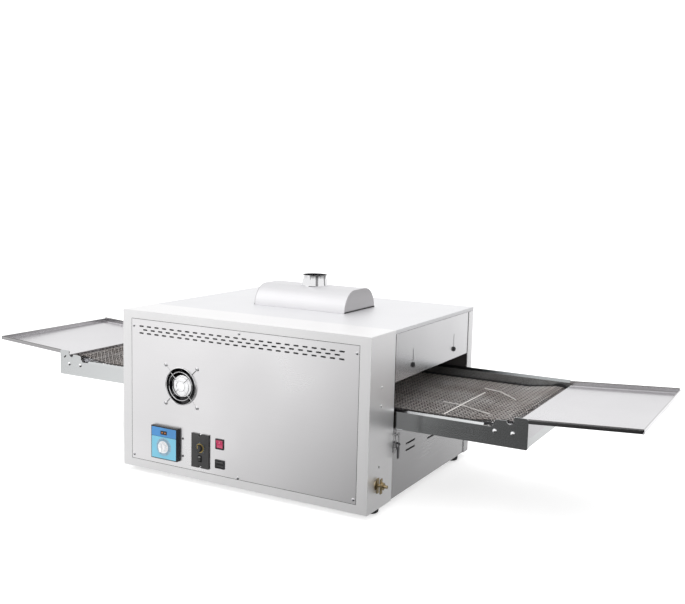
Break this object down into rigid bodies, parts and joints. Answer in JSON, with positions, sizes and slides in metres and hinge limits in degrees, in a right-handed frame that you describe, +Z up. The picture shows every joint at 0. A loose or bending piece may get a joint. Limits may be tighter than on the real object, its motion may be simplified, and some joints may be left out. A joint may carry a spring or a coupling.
{
  "type": "conveyor pizza oven",
  "caption": "Tabletop conveyor oven: steel casing with a through tunnel, wire-mesh belt between rails, lift-off end trays, sliding gates, front controls and a top exhaust hood.",
  "frame": {"origin": "on the table under the middle of the whole object, trays, front knob and rear cable gland included", "axes": "+X to the right of a person who faces the controls, along the belt; +Y from the control panel to the back; +Z up"},
  "size_m": [2.028, 0.704, 0.546],
  "materials": {
    "casing_steel": "fine brushed",
    "panel_steel": "fine brushed",
    "hood_steel": "satin",
    "cap_steel": "satin",
    "polished_steel": "polished",
    "rail_steel": "satin",
    "inner_steel": "heat darkened",
    "machined_steel": "machined",
    "belt_wire": "woven wire, heat tinted",
    "element_tube": "oxidised",
    "ceramic": "unglazed",
    "blanket": "fibrous",
    "rubber_black": "matte",
    "black_plastic": "moulded",
    "graphite_plastic": "moulded",
    "white_plastic": "moulded",
    "blue_label": "printed",
    "red_plastic": "moulded",
    "cast_alloy": "cast",
    "motor_paint": "satin",
    "brass": "satin"
  },
  "bodies": {
    "oven": {"base_pan": "casing_steel", "feet": "rubber_black", "control_shell": "casing_steel", "front_panel": "panel_steel", "panel_screws": "polished_steel", "bulkhead": "casing_steel", "side_panel_left": "casing_steel", "side_panel_right": "casing_steel", "back_panel": "casing_steel", "top_cover": "casing_steel", "chamber_liner": "inner_steel", "insulation": "blanket", "heating_elements": "element_tube", "element_holders": "ceramic", "temperature_probe": "polished_steel", "flue_tube": "inner_steel", "exhaust_hood": "hood_steel", "hood_end_caps": "cap_steel", "chimney": "polished_steel", "fan_housing": "black_plastic", "fan_guard": "polished_steel", "controller_case": "black_plastic", "controller_face": "blue_label", "speed_plate": "graphite_plastic", "control_screws": "polished_steel", "power_bezel": "black_plastic", "heater_bezel": "black_plastic", "contactor": "graphite_plastic", "drive_motor": "motor_paint", "gearbox": "cast_alloy", "drive_chain": "machined_steel", "near_rail": "rail_steel", "far_rail": "rail_steel", "end_plates": "rail_steel", "cross_members": "machined_steel", "bearing_blocks": "black_plastic", "rail_bolts": "polished_steel", "mesh_belt": "belt_wire", "gate_knobs": "machined_steel", "latch_base": "polished_steel", "earth_terminal": "brass", "cable_gland": "black_plastic"},
    "fan": {"fan_rotor": "black_plastic"},
    "temperature_dial": {"temperature_knob": "white_plastic"},
    "speed_dial": {"speed_knob": "black_plastic"},
    "run_switch": {"run_toggle": "black_plastic"},
    "power_switch": {"power_rocker": "red_plastic"},
    "heater_switch": {"heater_rocker": "graphite_plastic"},
    "motor_output": {"motor_sprocket": "machined_steel"},
    "drive_end": {"drive_shaft": "machined_steel", "drive_wheels": "machined_steel", "driven_sprocket": "machined_steel"},
    "idler_end": {"idler_shaft": "machined_steel", "idler_wheels": "machined_steel"},
    "left_tray": {"tray_left": "polished_steel"},
    "right_tray": {"tray_right": "polished_steel"},
    "left_gate": {"gate_left": "casing_steel"},
    "right_gate": {"gate_right": "casing_steel"},
    "latch_handle": {"latch_lever": "machined_steel"},
    "latch_wire": {"latch_bail": "polished_steel"}
  },
  "joints": [
    {"name": "fan_spin", "type": "hinge", "parent": "oven", "child": "fan", "pos_m": [-0.1626, -0.305, 0.2635], "axis": [0, -1, 0], "continuous": true},
    {"name": "temperature_turn", "type": "hinge", "parent": "oven", "child": "temperature_dial", "pos_m": [-0.213, -0.345, 0.0905], "axis": [0, 1, 0], "range_deg": [0, 300]},
    {"name": "speed_turn", "type": "hinge", "parent": "oven", "child": "speed_dial", "pos_m": [-0.0965, -0.335, 0.1045], "axis": [0, 1, 0], "range_deg": [0, 270]},
    {"name": "run_switch_tilt", "type": "hinge", "parent": "oven", "child": "run_switch", "pos_m": [-0.0965, -0.324, 0.0755], "axis": [1, 0, 0], "range_deg": [-10, 10]},
    {"name": "power_switch_tilt", "type": "hinge", "parent": "oven", "child": "power_switch", "pos_m": [-0.0345, -0.322, 0.1245], "axis": [-1, 0, 0], "range_deg": [0, 12]},
    {"name": "heater_switch_tilt", "type": "hinge", "parent": "oven", "child": "heater_switch", "pos_m": [-0.0335, -0.322, 0.07], "axis": [-1, 0, 0], "range_deg": [0, 12]},
    {"name": "drive_spin", "type": "hinge", "parent": "oven", "child": "drive_end", "pos_m": [0.69, 0, 0.236], "axis": [0, 1, 0], "continuous": true},
    {"name": "idler_spin", "type": "hinge", "parent": "oven", "child": "idler_end", "pos_m": [-0.69, 0, 0.236], "axis": [0, 1, 0], "continuous": true},
    {"name": "motor_spin", "type": "hinge", "parent": "oven", "child": "motor_output", "pos_m": [0.3, -0.16, 0.222], "axis": [0, 1, 0], "continuous": true},
    {"name": "left_tray_lift", "type": "slide", "parent": "oven", "child": "left_tray", "axis": [0, 0, 1], "range_m": [0, 0.06]},
    {"name": "right_tray_lift", "type": "slide", "parent": "oven", "child": "right_tray", "axis": [0, 0, 1], "range_m": [0, 0.06]},
    {"name": "left_gate_lower", "type": "slide", "parent": "oven", "child": "left_gate", "axis": [0, 0, -1], "range_m": [0, 0.038]},
    {"name": "right_gate_lower", "type": "slide", "parent": "oven", "child": "right_gate", "axis": [0, 0, -1], "range_m": [0, 0.038]},
    {"name": "latch_open", "type": "hinge", "parent": "oven", "child": "latch_handle", "pos_m": [0.413, -0.179, 0.16], "axis": [0, -1, 0], "range_deg": [0, 100]},
    {"name": "latch_wire_turn", "type": "hinge", "parent": "latch_handle", "child": "latch_wire", "pos_m": [0.412, -0.179, 0.152], "axis": [0, -1, 0], "range_deg": [-90, 0]}
  ],
  "couplings": [
    {"joint": "idler_spin", "follows": "drive_spin", "ratio": 1},
    {"joint": "motor_spin", "follows": "drive_spin", "ratio": 1},
    {"joint": "latch_wire_turn", "follows": "latch_open", "ratio": -0.854}
  ]
}
